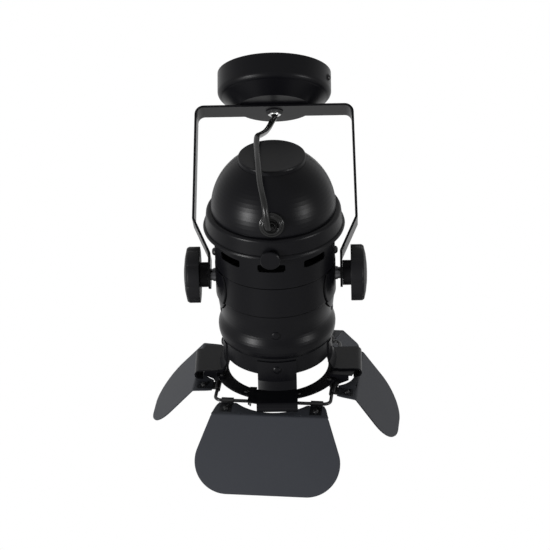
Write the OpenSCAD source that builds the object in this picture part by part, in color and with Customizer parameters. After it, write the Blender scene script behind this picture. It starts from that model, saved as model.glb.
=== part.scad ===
// Ceiling spotlight in the style of a theatre can: canopy, swivelling yoke,
// tilting can with ventilated rear dome, clamp knobs and four barn doors.
// Millimetres. Origin at the centre of the canopy's ceiling face, +Z up.
// The can is drawn in its own frame: origin on the tilt pivot, +Z to the dome.

/* [Canopy] */
// Outer radius of the canopy cup
canopy_r = 50; // [40:0.5:70]
// Height of the canopy's straight side
canopy_side = 17; // [12:0.2:24]
// Radius of the round below the canopy's side
canopy_round = 6; // [3:0.2:7]
// Whole height of the canopy from the ceiling
canopy_h = 32.8; // [30:0.2:50]
// Radius of the canopy's flat bottom
canopy_floor_r = 33; // [26:0.5:40]
// Sheet thickness of the canopy
canopy_wall = 1.2; // [0.8:0.1:2]
// Width of the ceiling bracket strip
bracket_w = 16; // [12:0.5:22]
// Thickness of the ceiling bracket strip
bracket_t = 1.5; // [1:0.1:2.5]
// Depth of the bracket's bent-down ends
bracket_drop = 13; // [10:0.5:18]
// Circle of the two ceiling screw holes
screw_pcd = 60; // [52:1:76]
// Radius of each ceiling screw hole
screw_hole_r = 2.25; // [1.8:0.05:3]
// Radius of the mains cable hole in the bracket
mains_hole_r = 4; // [3:0.25:5]
// Radius of the canopy side screw shank
side_screw_r = 1.5; // [1.25:0.25:2]
// Radius of the canopy side screw head
side_head_r = 3.1; // [2.2:0.1:4]
// Depth of the side screws below the ceiling
side_screw_z = 10; // [5:0.5:11]

/* [Nipple and terminal block] */
// Outer radius of the hollow threaded nipple
nipple_r = 4; // [3.9:0.1:5]
// Radius of the nipple's cable bore
nipple_bore = 3.2; // [2.8:0.1:3.4]
// Length of nipple showing under its lower nut
nipple_end = 0.5; // [0.5:0.1:3]
// Thickness of the washer between canopy and yoke
swivel_washer_t = 0.6; // [0.4:0.1:1.5]
// Thickness of the washer under the yoke
clamp_washer_t = 0.8; // [0.5:0.1:2]
// Radius of both washers
washer_r = 7.5; // [6.5:0.25:10]
// Width across the flats of the lower nut
nut_af = 10; // [9.5:0.25:14]
// Height of the lower nut
nut_h = 2.6; // [2:0.1:7]
// Length of the terminal block
block_l = 30; // [24:1:38]
// Width of the terminal block
block_w = 16; // [12:1:20]
// Height of the terminal block
block_h = 14.5; // [10:0.5:15]

/* [Yoke] */
// Width of the yoke strap
yoke_w = 25; // [18:0.5:32]
// Thickness of the yoke strap
yoke_t = 2; // [1.5:0.1:3]
// Half width over the yoke at its top corners
yoke_top_x = 69.5; // [66:0.5:80]
// Half width over the yoke at the bend in its legs
yoke_bend_x = 71.4; // [66:0.2:82]
// Depth of the leg bend below the ceiling
yoke_bend_z = 137; // [125:1:145]
// Depth at which the inclined part of the leg ends
yoke_foot_z = 168; // [162:1:170]
// Gap between the pivot bush and the leg
leg_gap = 1.9; // [1:0.1:3]
// Outside radius of the yoke's top corners
yoke_corner_r = 8; // [5:0.5:14]
// Depth of the tilt pivot below the ceiling
pivot_drop = 184; // [180:1:200]

/* [Can] */
// Tilt of the can as it is stored
can_tilt = 48; // [0:1:90]
// Outer radius of the rear dome
dome_r = 53; // [50:0.5:56]
// Centre of the dome above the pivot
dome_z = 66.5; // [62:0.5:76]
// Radius of the dome cap
cap_r = 28.6; // [20:0.2:34]
// Height of the dome cap
cap_h = 4.5; // [3:0.1:7]
// Outer radius of the skirt below the dome
skirt_r = 57.3; // [56:0.1:60]
// Outer radius of the rim ring
rim_r = 60.3; // [59:0.1:64]
// Middle of the rim ring above the pivot
rim_z = 50; // [44:0.5:56]
// Height of the rim ring
rim_h = 4; // [3.6:0.1:6]
// Outer radius of the upper barrel
barrel_r = 51.4; // [50:0.1:53]
// Outer radius of the lower barrel
barrel_low_r = 50.5; // [49.5:0.1:51]
// Height of the step between upper and lower barrel
step_z = 15; // [13:0.5:17]
// Front edge of the barrel below the pivot
barrel_front = 13.8; // [10:0.2:18]
// Sheet thickness of the can
can_wall = 1.2; // [0.8:0.1:1.5]
// Turn of the barrel's slots and the rim's screw from the can's front
barrel_turn = -2; // [-10:0.5:10]
// Radius that rounds the barrel's lower edges
barrel_edge = 0.9; // [0.2:0.1:1]
// Number of vent slots round the barrel
vent_n = 8; // [4:1:10]
// Length of each vent slot round the barrel
vent_w = 23.5; // [15:0.5:28]
// Height of each vent slot
vent_h = 7; // [4:0.5:9]
// Distance of the vent slots below the rim ring
vent_drop = 9.2; // [2:0.2:10]
// Corner radius of the vent slots
vent_corner = 1.9; // [0.5:0.1:2]

/* [Front shell] */
// Waist radius of the front shell
waist_r = 47.6; // [46.8:0.1:49]
// Bulge radius of the front shell
bulge_r = 50.8; // [49.5:0.1:54]
// Neck radius of the front shell
neck_r = 46.6; // [44:0.1:47]
// Distance of the waist in front of the pivot
waist_z = 34; // [32:0.5:36]
// Distance of the bulge in front of the pivot
bulge_z = 47; // [44:0.5:50]
// Distance of the crease in front of the pivot
crease_z = 57; // [54:0.5:59]
// Distance of the front edge from the pivot
front_z = 74; // [72:0.5:78]

/* [Pivot] */
// Radius of the round side plates
plate_r = 28.8; // [20:0.2:32]
// Thickness of the side plates
plate_t = 1.2; // [0.8:0.1:2]
// Radius of the pivot bush
bush_r = 5.8; // [5.6:0.1:11]
// Height of the pivot bush
bush_h = 2; // [1:0.1:3]
// Radius of the knob stud
stud_r = 5; // [4:0.1:6]
// Running clearance round the stud
stud_gap = 0.08; // [0.04:0.01:0.1]
// Width across the flats of the clamp nut inside the can
pivot_nut_af = 17; // [15:0.5:20]
// Height of the clamp nut inside the can
pivot_nut_h = 4.4; // [3:0.2:6]

/* [Knobs] */
// Width across the flats of the knob
knob_af = 46; // [34:1:56]
// Thickness of the knob grip
knob_h = 14; // [9:0.5:20]
// Height of the crown on the knob's outer face
knob_crown = 3; // [1:0.2:5]
// Radius that rounds the knob's corners
knob_corner = 24.2; // [17:0.1:30]
// Radius of the knob collar
collar_r = 10.6; // [8:0.2:14]
// Length of the knob collar
collar_l = 7; // [4:0.5:12]

/* [Grommet and thumb screw] */
// Outer radius of the cable grommet
grommet_r = 10.5; // [8:0.25:12]
// Radius of the grommet's raised ring
grommet_ring_r = 7.5; // [6.5:0.25:9]
// Radius of the thumb screw head
thumb_r = 8.4; // [5:0.2:11]
// Thickness of the thumb screw head
thumb_h = 3; // [2:0.25:5]
// Radius of the thumb screw shank
thumb_shank_r = 1.25; // [1:0.05:1.4]

/* [Lampholder] */
// Outer radius of the lampholder
holder_r = 20; // [17:0.5:24]
// Radius of the lampholder's threaded bore
lamp_bore_r = 13.4; // [13.2:0.05:13.6]
// Depth of the lampholder's threaded bore
lamp_bore_l = 25; // [22:0.5:28]
// Radius of the contact chamber behind the bore
lamp_chamber_r = 11; // [9:0.5:12]
// Depth of the contact chamber
lamp_chamber_l = 3; // [2.6:0.1:4]
// Length of the lampholder
lamp_l = 36; // [34:0.5:42]
// Mouth of the lampholder above the pivot
lamp_mouth_z = 28; // [22:1:32]
// Width of the lampholder bracket
lamp_strip_w = 14; // [10:1:20]
// Height of the lampholder bracket screws above the pivot
lamp_screw_z = 23; // [21:0.5:26]

/* [Accessory holders] */
// Width of the holder straps
strap_w = 33.5; // [26:0.5:36]
// Width of the holder webs
web_w = 35.2; // [28:0.2:38]
// Sheet thickness of the holders
hold_t = 1.2; // [0.8:0.1:1.6]
// Distance of the holder web from the pivot
web_z = 87; // [85:0.5:92]
// Outer reach of the holder's curl
web_r = 73.2; // [71:0.2:80]
// Outer radius of the curl
curl_r = 4.6; // [3.5:0.1:5]

/* [Door frame] */
// Inner radius of the door ring
ring_in = 43.8; // [36:0.1:44]
// Outer radius of the door ring
ring_out = 55.8; // [54:0.1:60]
// Thickness of the door ring
ring_t = 1.5; // [1:0.1:2]
// Width of the frame tabs
tab_w = 39; // [34:0.5:44]
// Sheet thickness of the frame tabs
tab_t = 1.2; // [0.8:0.1:1.5]
// Half side of the square wire frame
wire_half = 50.1; // [48:0.1:54]
// Radius of the wire
wire_r = 1.5; // [1.2:0.1:2]
// Bend radius of the wire's corners
wire_bend = 5.5; // [4:0.1:8]
// Distance of the wire frame from the pivot
wire_z = 99.5; // [98:0.5:104]
// Turn of the door frame in its holders as it is stored
door_turn = -5.5; // [-6:0.5:6]

/* [Barn doors] */
// Opening of the front door's root strip from the can's axis as it is stored
open_front = 88; // [38:1:100]
// Opening of the right door's root strip as it is stored
open_right = 82; // [38:1:100]
// Opening of the rear door's root strip as it is stored
open_rear = 84; // [38:1:100]
// Opening of the left door's root strip as it is stored
open_left = 90; // [38:1:100]
// Bend between a door's root strip and its panel
leaf_fold = 48; // [30:1:60]
// Sheet thickness of the doors
leaf_t = 1; // [0.8:0.1:1.4]
// Distance of the fold line from the wire
fold_u = 21; // [19:0.5:22]
// Depth of the arc in a door's root edge, from the wire
leaf_arc_u = 17; // [14:0.5:18]
// Length of the front and rear panels
long_l = 68; // [55:1:76]
// Half width of the front and rear panels at the fold
long_fold_w = 50.5; // [50:0.5:53]
// Greatest half width of the front and rear panels
long_max_w = 62.6; // [58:0.5:64]
// Corner radius of the front and rear panels
long_corner = 28.6; // [20:0.2:34]
// Distance of the front and rear clips from the middle
long_clip_x = 38.8; // [34:0.2:39]
// Length of the side panels
short_l = 61; // [45:1:70]
// Half width of the side panels at the fold
short_fold_w = 38; // [36:0.5:42]
// Greatest half width of the side panels
short_max_w = 38.6; // [38:0.2:44]
// Corner radius of the side panels
short_corner = 31; // [20:0.5:34]
// Distance of the side clips from the middle
short_clip_x = 29; // [27:0.2:31]
// Width of a door clip
clip_w = 10.5; // [7:0.5:11]
// Sheet thickness of the clips
clip_t = 1; // [0.8:0.1:1.3]
// Running clearance of the clips on the wire
clip_gap = 0.08; // [0.04:0.01:0.1]
// Length of a clip from the wire
clip_u = 18; // [15:0.5:18.5]

/* [Supply flex] */
// Radius of the supply flex
flex_r = 2.5; // [2:0.1:2.6]

/* [Hidden] */
$fn = 48;
bracket_turn = -17;
slide_gap = 0.1;
floor_in = -canopy_h + canopy_wall;
bracket_x = sqrt(pow(canopy_r - canopy_wall, 2) - pow(bracket_w / 2, 2)) - 0.05;
yoke_z = -canopy_h - swivel_washer_t;
yoke_under = yoke_z - yoke_t;
nut_top = yoke_under - clamp_washer_t;
nipple_foot = nut_top - nut_h - nipple_end;
lock_nut_h = 3;
nipple_top = floor_in + lock_nut_h + 0.8;
plate_face = barrel_low_r + plate_t;
bush_face = plate_face + bush_h;
leg_in = bush_face + leg_gap;
leg_out = leg_in + yoke_t;
collar_x = leg_out + slide_gap;
grip_x = collar_x + collar_l;
barrel_top = rim_z + 6;
barrel_tuck = barrel_low_r - can_wall - slide_gap;
dome_top = dome_z + sqrt(dome_r * dome_r - (cap_r + 0.2) * (cap_r + 0.2));
nut_x = sqrt(pow(barrel_low_r - can_wall, 2) - pow(pivot_nut_af / 2, 2)) - 0.1;
web_under = -web_z - hold_t;
curl_c = web_r - curl_r;
tab_top = web_under - 0.4;
tab_under = tab_top - tab_t;
tab_r = curl_c + sqrt(pow(curl_r - hold_t - 0.32, 2) - pow(curl_r - hold_t - 0.4, 2));
ring_top = -wire_z + wire_r + 5.25;
ring_under = ring_top - ring_t;
neck_rivet_z = -(crease_z + front_z) / 2 - 2.5;
waist_rivet_z = -plate_r - 4.4;
leaf_root = [open_front, open_right, open_rear, open_left];
clip_r = wire_r + clip_gap + clip_t;
block_z = -bracket_t;
flex_top = block_z - block_h - 0.3;

// ---- placing ----
module in_can() {
  translate([0, 0, -pivot_drop])
    rotate([can_tilt, 0, 0])
      children();
}
module in_doors() {
  in_can()
    rotate([0, 0, door_turn])
      children();
}
// i = 0 front, 1 right, 2 rear, 3 left; children drawn on the right-hand side
module side(i) {
  rotate([0, 0, -90 + 90 * i])
    children();
}
// Along +X: a cylinder from x0 to x1
module xcyl(r, x0, x1) {
  translate([x0, 0, 0])
    rotate([0, 90, 0])
      cylinder(r = r, h = x1 - x0);
}
// Along +X: a hexagon from x0 to x1
module xhex(af, x0, x1) {
  translate([x0, 0, 0])
    rotate([0, 90, 0])
      cylinder(r = af / 2 / cos(30), h = x1 - x0, $fn = 6);
}
// Low domed rivet head on +X at distance x, with its shank going inward
module rivet(r, h, x, shank_r, shank_l) {
  translate([x, 0, 0])
    rotate([0, 90, 0])
      rotate_extrude()
        polygon([[0, -shank_l], [shank_r, -shank_l], [shank_r, 0], [r, 0],
                 [r * 0.92, h * 0.45], [r * 0.7, h * 0.8], [r * 0.38, h], [0, h]]);
}
// Pan-head screw on +X at distance x with a crossed recess
module pan_screw(r, h, x, shank_r, shank_l) {
  difference() {
    rivet(r, h, x, shank_r, shank_l);
    translate([x + h - 0.6, -r * 0.55, -0.3])
      cube([2, r * 1.1, 0.6]);
    translate([x + h - 0.6, -0.3, -r * 0.55])
      cube([2, 0.6, r * 1.1]);
  }
}

// ---- profile helpers ----
function mix(a, b, t) = a + (b - a) * t;
// Eased step from a to b
function ease(a, b, t) = a + (b - a) * (1 - cos(180 * t)) / 2;
function rev(p) = [for (i = [len(p) - 1:-1:0]) p[i]];
// Points of an arc
function arc(cx, cy, r, a0, a1, n) =
  [for (i = [0:n]) [cx + r * cos(mix(a0, a1, i / n)), cy + r * sin(mix(a0, a1, i / n))]];
function unit(v) = v / norm(v);
// Side step of an open path by d, to the right of its direction
function path_normal(p, i) =
  let (a = unit(p[min(i + 1, len(p) - 1)] - p[min(i, len(p) - 2)]),
       b = unit(p[max(i, 1)] - p[max(i, 1) - 1]),
       m = unit([a[1] + b[1], -a[0] - b[0]]))
  m / (m[0] * a[1] - m[1] * a[0]);
function side_path(p, d) = [for (i = [0:len(p) - 1]) p[i] + d * path_normal(p, i)];

// ---- canopy ----
canopy_out = concat([[canopy_r, 0]],
  arc(canopy_r - canopy_round, -canopy_side, canopy_round, 0, -70, 7),
  [[canopy_floor_r, -canopy_h]]);
module canopy_cup() color([0.08, 0.08, 0.085]) difference() {
  rotate_extrude($fn = 96)
    polygon(concat([[0, 0]], canopy_out, [[0, -canopy_h]]));
  rotate_extrude($fn = 96)
    polygon(concat([[0, 1]], [[canopy_r - canopy_wall, 1]],
      [for (q = side_path(canopy_out, canopy_wall)) if (q[1] < -1) q],
      [[0, floor_in]]));
  translate([0, 0, -canopy_h - 1])
    cylinder(r = nipple_r + slide_gap, h = canopy_wall + 3);
  for (a = [0, 180])
    rotate([0, 0, bracket_turn + a])
      translate([0, 0, -side_screw_z])
        xcyl(side_screw_r + 0.2, canopy_r - 5, canopy_r + 2);
}
module ceiling_bracket() color([0.62, 0.63, 0.64]) rotate([0, 0, bracket_turn]) difference() {
  union() {
    translate([-bracket_x, -bracket_w / 2, -bracket_t])
      cube([2 * bracket_x, bracket_w, bracket_t]);
    for (a = [0, 180])
      rotate([0, 0, a])
        translate([bracket_x - bracket_t - 0.8, -bracket_w / 2, -bracket_drop])
          cube([bracket_t, bracket_w, bracket_drop]);
  }
  for (x = [-1, 1])
    translate([x * screw_pcd / 2, 0, -3])
      cylinder(r = screw_hole_r, h = 5);
  translate([-screw_pcd / 2 + screw_hole_r + mains_hole_r + 2.6, 0, -3])
    cylinder(r = mains_hole_r, h = 5);
  for (a = [0, 180])
    rotate([0, 0, a])
      translate([0, 0, -side_screw_z])
        xcyl(side_screw_r + 0.05, bracket_x - 6, canopy_r);
}
module canopy_side_screws() color([0.1, 0.1, 0.1])
  for (a = [0, 180])
    rotate([0, 0, bracket_turn + a])
      translate([0, 0, -side_screw_z])
        pan_screw(side_head_r, 1.9, canopy_r, side_screw_r, 8);
module cable_nipple() color([0.7, 0.6, 0.35]) difference() {
  translate([0, 0, nipple_foot])
    cylinder(r = nipple_r, h = nipple_top - nipple_foot);
  translate([0, 0, nipple_foot - 1])
    cylinder(r = nipple_bore, h = nipple_top - nipple_foot + 2);
}
module nipple_lock_nut() color([0.75, 0.75, 0.76]) difference() {
  translate([0, 0, floor_in])
    cylinder(r = nut_af / 2 / cos(30), h = lock_nut_h, $fn = 6);
  translate([0, 0, floor_in - 1])
    cylinder(r = nipple_r, h = lock_nut_h + 2);
}
module washer(z, t) difference() {
  translate([0, 0, z])
    cylinder(r = washer_r, h = t);
  translate([0, 0, z - 1])
    cylinder(r = nipple_r + slide_gap, h = t + 2);
}
module swivel_washer() color([0.2, 0.2, 0.2]) washer(yoke_z, swivel_washer_t);
module clamp_washer() color([0.05, 0.05, 0.05]) washer(nut_top, clamp_washer_t);
module nipple_nut() color([0.75, 0.75, 0.76]) difference() {
  intersection() {
    translate([0, 0, nut_top - nut_h])
      cylinder(r = nut_af / 2 / cos(30), h = nut_h, $fn = 6);
    translate([0, 0, nut_top - nut_h])
      cylinder(r1 = nut_af / 2 + 0.1, r2 = nut_af / 2 + 0.1 + nut_h * 1.7, h = nut_h);
  }
  translate([0, 0, nut_top - nut_h - 1])
    cylinder(r = nipple_r, h = nut_h + 2);
}
module terminal_block() color([0.9, 0.9, 0.87]) rotate([0, 0, bracket_turn]) difference() {
  translate([-block_l / 2, -block_w / 2, block_z - block_h])
    cube([block_l, block_w, block_h]);
  for (x = [-1, 0, 1]) {
    translate([x * block_l * 0.31, block_w / 2 + 1, block_z - block_h * 0.45])
      rotate([90, 0, 0])
        cylinder(r = 1.8, h = block_w + 2);
    for (y = [-1, 1])
      translate([x * block_l * 0.31, y * block_w * 0.28, block_z - block_h - 1])
        cylinder(r = 1.85, h = block_h * 0.55);
  }
}
module terminal_screws() color([0.72, 0.6, 0.3]) rotate([0, 0, bracket_turn])
  for (x = [-1, 0, 1], y = [-1, 1])
    translate([x * block_l * 0.31, y * block_w * 0.28, block_z - block_h + 1])
      cylinder(r = 1.8, h = block_h * 0.25);

// ---- yoke ----
yoke_arc = arc(yoke_top_x - yoke_corner_r, yoke_z - yoke_corner_r, yoke_corner_r, 90, 0, 8);
yoke_right = concat([[0, yoke_z]], yoke_arc,
  [[yoke_bend_x, -yoke_bend_z], [leg_out, -yoke_foot_z], [leg_out, -pivot_drop]]);
yoke_left = [for (q = rev(yoke_right)) [-q[0], q[1]]];
yoke_out = concat([for (i = [0:len(yoke_left) - 2]) yoke_left[i]], yoke_right);
module yoke_bracket() color([0.1, 0.1, 0.105]) difference() {
  union() {
    translate([0, yoke_w / 2, 0])
      rotate([90, 0, 0])
        linear_extrude(height = yoke_w)
          polygon(concat(yoke_out, rev(side_path(yoke_out, yoke_t))));
    for (a = [0, 180])
      rotate([0, 0, a])
        translate([0, 0, -pivot_drop])
          xcyl(yoke_w / 2, leg_in, leg_out);
  }
  translate([0, 0, yoke_under - 1])
    cylinder(r = nipple_r + slide_gap, h = yoke_t + 2);
  for (a = [0, 180])
    rotate([0, 0, a])
      translate([0, 0, -pivot_drop])
        xcyl(stud_r + stud_gap, leg_in - 3, leg_out + 3);
}

// ---- supply flex: one swept tube from the terminal block to the grommet ----
flex_route = [
  [0, 0, flex_top], [0, 0, -21], [0, 0, -27], [0, 0, -33], [0, 0, nipple_foot - 1],
  [-2.3, -8, -48.5], [-4.6, -20, -58], [-7.2, -38, -68.5], [-10, -58, -78], [-12.6, -74, -86],
  [-12.6, -86, -99.5], [-11.2, -101, -117.5], [-8.9, -114.8, -141], [-5.2, -120.4, -162],
  [-3.3, -110.1, -177.3]];
// Point i of the route, with its ends repeated
function fp(i) = flex_all[max(0, min(len(flex_all) - 1, i))];
// Place of the grommet's middle and the way out of its bore
grommet_a = 12.6;
grommet_az = -0.5;
grommet_n = [sin(grommet_az) * cos(grommet_a), -cos(grommet_az) * cos(grommet_a), sin(grommet_a)];
function to_world(p) =
  [p[0], p[1] * cos(can_tilt) - p[2] * sin(can_tilt),
   p[1] * sin(can_tilt) + p[2] * cos(can_tilt) - pivot_drop];
function grommet_at(d) = to_world([0, 0, dome_z] + (dome_r + d) * grommet_n);
flex_all = concat(flex_route, [grommet_at(9), grommet_at(4), grommet_at(0), grommet_at(-6)]);
function spline(i, t) =
  0.5 * (2 * fp(i) + (fp(i + 1) - fp(i - 1)) * t
    + (2 * fp(i - 1) - 5 * fp(i) + 4 * fp(i + 1) - fp(i + 2)) * t * t
    + (3 * fp(i) - fp(i - 1) - 3 * fp(i + 1) + fp(i + 2)) * t * t * t);
flex_pts = concat([for (i = [0:len(flex_all) - 2], k = [0:1]) spline(i, k / 2)],
                  [flex_all[len(flex_all) - 1]]);
function flex_dir(i) = unit(flex_pts[min(i + 1, len(flex_pts) - 1)] - flex_pts[max(i - 1, 0)]);
function ring_pts(i, r, n) =
  let (d = flex_dir(i), u = unit(cross(d, [1, 0, 0])), v = cross(d, u))
  [for (k = [0:n - 1]) flex_pts[i] + r * (cos(360 * k / n) * u + sin(360 * k / n) * v)];
module supply_flex() color([0.03, 0.03, 0.03]) {
  n = 8;
  m = len(flex_pts);
  polyhedron(
    points = [for (i = [0:m - 1]) each ring_pts(i, flex_r, n)],
    faces = concat(
      [[for (k = [0:n - 1]) k]],
      [for (i = [0:m - 2], k = [0:n - 1])
        [i * n + k, (i + 1) * n + k, (i + 1) * n + (k + 1) % n, i * n + (k + 1) % n]],
      [[for (k = [n - 1:-1:0]) (m - 1) * n + k]]));
}

// ---- can ----
dome_seam = dome_z - 0.4;
skirt_out = concat([[skirt_r + 1.2, rim_z + rim_h / 2], [skirt_r, dome_z - 3.5]],
  arc(skirt_r - 3, dome_z - 3.5, 3, 15, 80, 4), [[dome_r + 0.4, dome_seam]]);
dome_out = concat([[dome_r, dome_seam], [dome_r, dome_z + 0.4]],
  arc(0, dome_z, dome_r, 2, asin((dome_top - dome_z) / dome_r), 14));
module dome_skirt() color([0.1, 0.1, 0.105]) in_can()
  rotate_extrude($fn = 96)
    polygon(concat(skirt_out,
      [[dome_r - can_wall, dome_seam], [dome_r - can_wall, dome_seam - can_wall]],
      rev([for (q = side_path(skirt_out, -can_wall))
        if (q[1] > rim_z + rim_h / 2 + 0.5 && q[0] > dome_r + 0.8) q]),
      [[skirt_r + 1.2 - can_wall, rim_z + rim_h / 2]]));
module rear_dome() color([0.1, 0.1, 0.105]) in_can() difference() {
  rotate_extrude($fn = 96)
    polygon(concat(dome_out, [[0, dome_top], [0, dome_top - can_wall]],
      rev([for (q = side_path(dome_out, -can_wall))
        if (q[1] > dome_z + 0.5 && q[1] < dome_top - can_wall) q]),
      [[dome_r - can_wall, dome_seam]]));
  translate([0, 0, dome_top - 5])
    cylinder(r = 9, h = 10);
  for (a = [0:60:300])
    rotate([0, 0, a])
      translate([18, 0, dome_top - 5])
        cylinder(r = 3.5, h = 10);
  grommet_frame()
    cylinder(r = grommet_ring_r - 1.5, h = 20, center = true);
}
module dome_cap() color([0.08, 0.08, 0.085]) in_can() difference() {
  rotate_extrude($fn = 96)
    polygon([[0, dome_top], [cap_r, dome_top], [cap_r, dome_top + cap_h - 1.2],
             [cap_r - 0.35, dome_top + cap_h - 0.35], [cap_r - 1.2, dome_top + cap_h],
             [0, dome_top + cap_h]]);
  translate([0, 0, dome_top - 1])
    cylinder(r = cap_r - can_wall, h = cap_h + 1 - can_wall);
}
// Frame on the dome's face at the grommet, +Z outward
module grommet_frame() {
  translate([0, 0, dome_z])
    rotate([0, 0, grommet_az])
      rotate([90 - grommet_a, 0, 0])
        translate([0, 0, dome_r])
          children();
}
module cable_grommet() color([0.03, 0.03, 0.03]) in_can() difference() {
  union() {
    difference() {
      grommet_frame()
        rotate_extrude()
          polygon([[0, -4], [grommet_r, -4], [grommet_r, 0.9], [grommet_r - 0.8, 1.6],
                   [grommet_ring_r + 0.3, 2], [grommet_ring_r, 3], [grommet_ring_r - 0.9, 3.8],
                   [0, 3.8]]);
      translate([0, 0, dome_z])
        sphere(r = dome_r, $fn = 96);
    }
    grommet_frame()
      translate([0, 0, -3])
        cylinder(r = grommet_ring_r - 1.6, h = 4);
  }
  grommet_frame()
    cylinder(r = flex_r + 0.4, h = 20, center = true);
}
module rim_ring() color([0.08, 0.08, 0.085]) in_can() difference() {
  rotate_extrude($fn = 96)
    polygon([[barrel_r, rim_z - rim_h / 2], [rim_r - 1.4, rim_z - rim_h / 2],
             [rim_r - 0.4, rim_z - rim_h * 0.32], [rim_r, rim_z],
             [rim_r - 0.4, rim_z + rim_h * 0.32], [rim_r - 1.4, rim_z + rim_h / 2],
             [barrel_r, rim_z + rim_h / 2]]);
  rotate([0, 0, barrel_turn])
    side(0)
      translate([0, 0, rim_z])
        xcyl(thumb_shank_r + slide_gap - 0.02, barrel_r - 5, rim_r + 5);
}
module thumb_screw() color([0.1, 0.1, 0.105])
  in_can() rotate([0, 0, barrel_turn]) side(0) translate([0, 0, rim_z]) {
  translate([rim_r + 0.3, 0, 0])
    rotate([0, 90, 0])
      rotate_extrude($fn = 64)
        polygon([[0, 0], [thumb_r - 0.4, 0], [thumb_r, 0.5], [thumb_r, thumb_h - 0.7],
                 [thumb_r - 0.7, thumb_h], [thumb_r * 0.6, thumb_h + 0.1], [0, thumb_h + 0.1]]);
  xcyl(thumb_shank_r, barrel_r + 1.2, rim_r + 1);
}
// Rounded slot outline in a vent's own plane
module vent_shape() {
  square([vent_w, vent_h - 2 * vent_corner], center = true);
  square([vent_w - 2 * vent_corner, vent_h], center = true);
  for (x = [-1, 1], y = [-1, 1])
    translate([x * (vent_w / 2 - vent_corner), y * (vent_h / 2 - vent_corner)])
      circle(r = vent_corner);
}
module can_barrel() color([0.1, 0.1, 0.105]) in_can() difference() {
  rotate_extrude($fn = 96)
    polygon(concat([[barrel_r - can_wall, step_z]],
      arc(barrel_r - barrel_edge, step_z + barrel_edge, barrel_edge, -90, 0, 5),
      [[barrel_r, barrel_top], [barrel_r - can_wall, barrel_top]]));
  for (i = [0:vent_n - 1])
    rotate([0, 0, barrel_turn - 90 + i * 360 / vent_n])
      translate([barrel_r - 8, 0, rim_z - rim_h / 2 - vent_drop - vent_h / 2])
        rotate([90, 0, 90])
          linear_extrude(height = 12)
            vent_shape();
  for (a = [0, 180])
    rotate([0, 0, a])
      translate([0, 0, lamp_screw_z])
        xcyl(2.1, barrel_r - 6, barrel_r + 3);
}
// Lower barrel: the sleeve that carries the pivot, necked in below the step
module barrel_sleeve() color([0.1, 0.1, 0.105]) in_can() difference() {
  rotate_extrude($fn = 96)
    polygon(concat([[barrel_low_r - can_wall, -barrel_front]],
      arc(barrel_low_r - barrel_edge, -barrel_front + barrel_edge, barrel_edge, -90, 0, 5),
      [[barrel_low_r, step_z], [barrel_low_r - can_wall, step_z]]));
  for (a = [0, 180])
    rotate([0, 0, a])
      xcyl(stud_r + stud_gap, barrel_low_r - 9, barrel_low_r + 3);
}
shell_out = concat([[barrel_tuck, -barrel_front + 2.6], [barrel_tuck, -barrel_front - 0.5]],
  [for (i = [1:6]) [ease(barrel_tuck, waist_r, i / 6), mix(-barrel_front - 0.5, -waist_z, i / 6)]],
  [for (i = [1:6]) [ease(waist_r, bulge_r, i / 6), mix(-waist_z, -bulge_z, i / 6)]],
  [for (i = [1:5]) [mix(neck_r + 0.6, bulge_r, cos(18 * i)), mix(-bulge_z, -crease_z, sin(18 * i))]],
  [[neck_r, -crease_z - 0.8], [neck_r, -front_z]]);
// Outer radius of the front shell at distance d in front of the pivot
function shell_r(d) =
  let (t = (d - barrel_front - 0.5) / (waist_z - barrel_front - 0.5))
  ease(barrel_tuck, waist_r, max(0, min(1, t)));
module front_shell() color([0.1, 0.1, 0.105]) in_can() difference() {
  rotate_extrude($fn = 96)
    polygon(concat(shell_out, rev([for (q = side_path(shell_out, can_wall))
      [q[0], max(-front_z, q[1])]])));
  for (i = [0:3])
    side(i) {
      translate([0, 0, waist_rivet_z])
        xcyl(1.7, waist_r - 6, waist_r + 4);
      translate([0, 0, neck_rivet_z])
        xcyl(1.7, neck_r - 6, neck_r + 4);
    }
}
module side_plates() color([0.1, 0.1, 0.105]) in_can() for (a = [0, 180]) rotate([0, 0, a]) {
  lip = [for (i = [0:6]) let (d = mix(barrel_front + 0.8, plate_r + 1, i / 6)) [shell_r(d), -d]];
  difference() {
    intersection() {
      rotate_extrude($fn = 96)
        polygon(concat([[barrel_low_r, step_z - 1], [barrel_low_r, -barrel_front]], lip,
          rev([for (q = lip) q + [plate_t, 0]]),
          [[plate_face, -barrel_front - 0.6], [plate_face, step_z - 1]]));
      xcyl(plate_r, 10, plate_face + 5, $fn = 96);
    }
    xcyl(stud_r + stud_gap, 5, plate_face + 6);
  }
}
module pivot_bushes() color([0.55, 0.56, 0.57]) in_can() for (a = [0, 180]) rotate([0, 0, a])
  difference() {
    union() {
      xcyl(bush_r, barrel_low_r - 2, bush_face - 0.4);
      xcyl(bush_r - 0.4, barrel_low_r - 2, bush_face);
    }
    translate([0, 0, -20])
      cylinder(r = plate_face, h = 40, $fn = 96);
    xcyl(stud_r + stud_gap, barrel_low_r - 5, bush_face + 3);
  }
module pivot_nuts() color([0.6, 0.6, 0.61]) in_can() for (a = [0, 180]) rotate([0, 0, a])
  difference() {
    xhex(pivot_nut_af, nut_x - pivot_nut_h, nut_x);
    xcyl(stud_r + stud_gap, nut_x - pivot_nut_h - 1, nut_x + 1);
  }

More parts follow.
